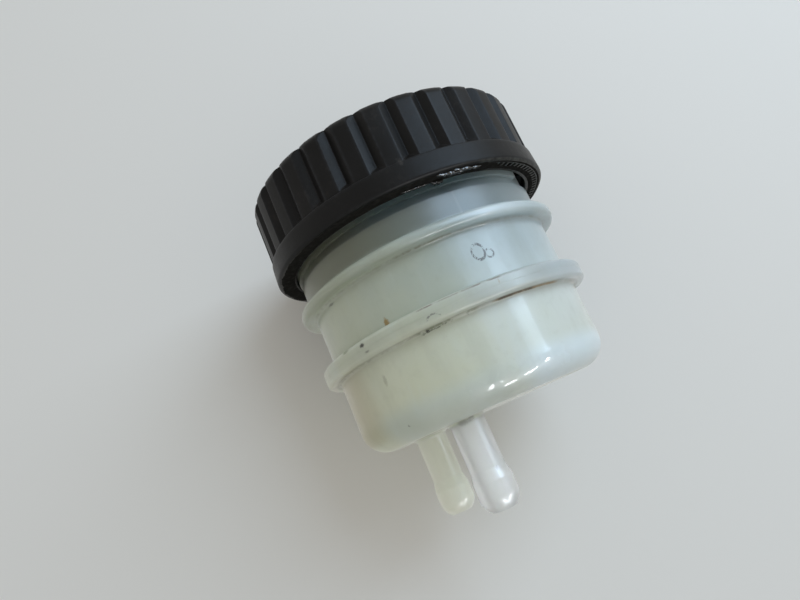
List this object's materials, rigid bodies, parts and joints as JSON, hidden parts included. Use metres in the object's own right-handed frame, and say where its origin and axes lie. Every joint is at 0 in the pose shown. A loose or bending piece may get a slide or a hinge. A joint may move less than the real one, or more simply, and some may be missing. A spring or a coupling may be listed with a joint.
{
  "type": "brake fluid reservoir",
  "caption": "Round translucent remote brake-fluid reservoir with a ribbed black screw cap, an inner rubber diaphragm, a flanged clamp seat and hose nipples under the cup.",
  "frame": {"origin": "on the cap's axis, half way up the clamp seat between the two flanges", "axes": "+Z along the cap's axis from the nipples to the cap, as used; X along the row of two nipples; the nipple row lies on the -Y side"},
  "size_m": [0.0602, 0.0602, 0.0729],
  "materials": {
    "body_plastic": "translucent natural plastic, semi-gloss",
    "diaphragm_rubber": "matt black",
    "ring_plastic": "natural white",
    "cap_plastic": "satin black"
  },
  "bodies": {
    "reservoir": {"upper_shell": "body_plastic", "lower_shell": "body_plastic"},
    "seal_stack": {"diaphragm": "diaphragm_rubber", "slip_ring": "ring_plastic"},
    "cap": {"screw_cap": "cap_plastic"}
  },
  "joints": [
    {"name": "cap_lift", "type": "slide", "parent": "reservoir", "child": "seal_stack", "axis": [0, 0, 1], "range_m": [0, 0.0201]},
    {"name": "cap_turn", "type": "hinge", "parent": "seal_stack", "child": "cap", "pos_m": [0, 0, 0.0147], "axis": [0, 0, 1], "range_deg": [0, 1440]}
  ],
  "couplings": [
    {"joint": "cap_lift", "follows": "cap_turn", "m_per_rad": 0.00079577}
  ]
}
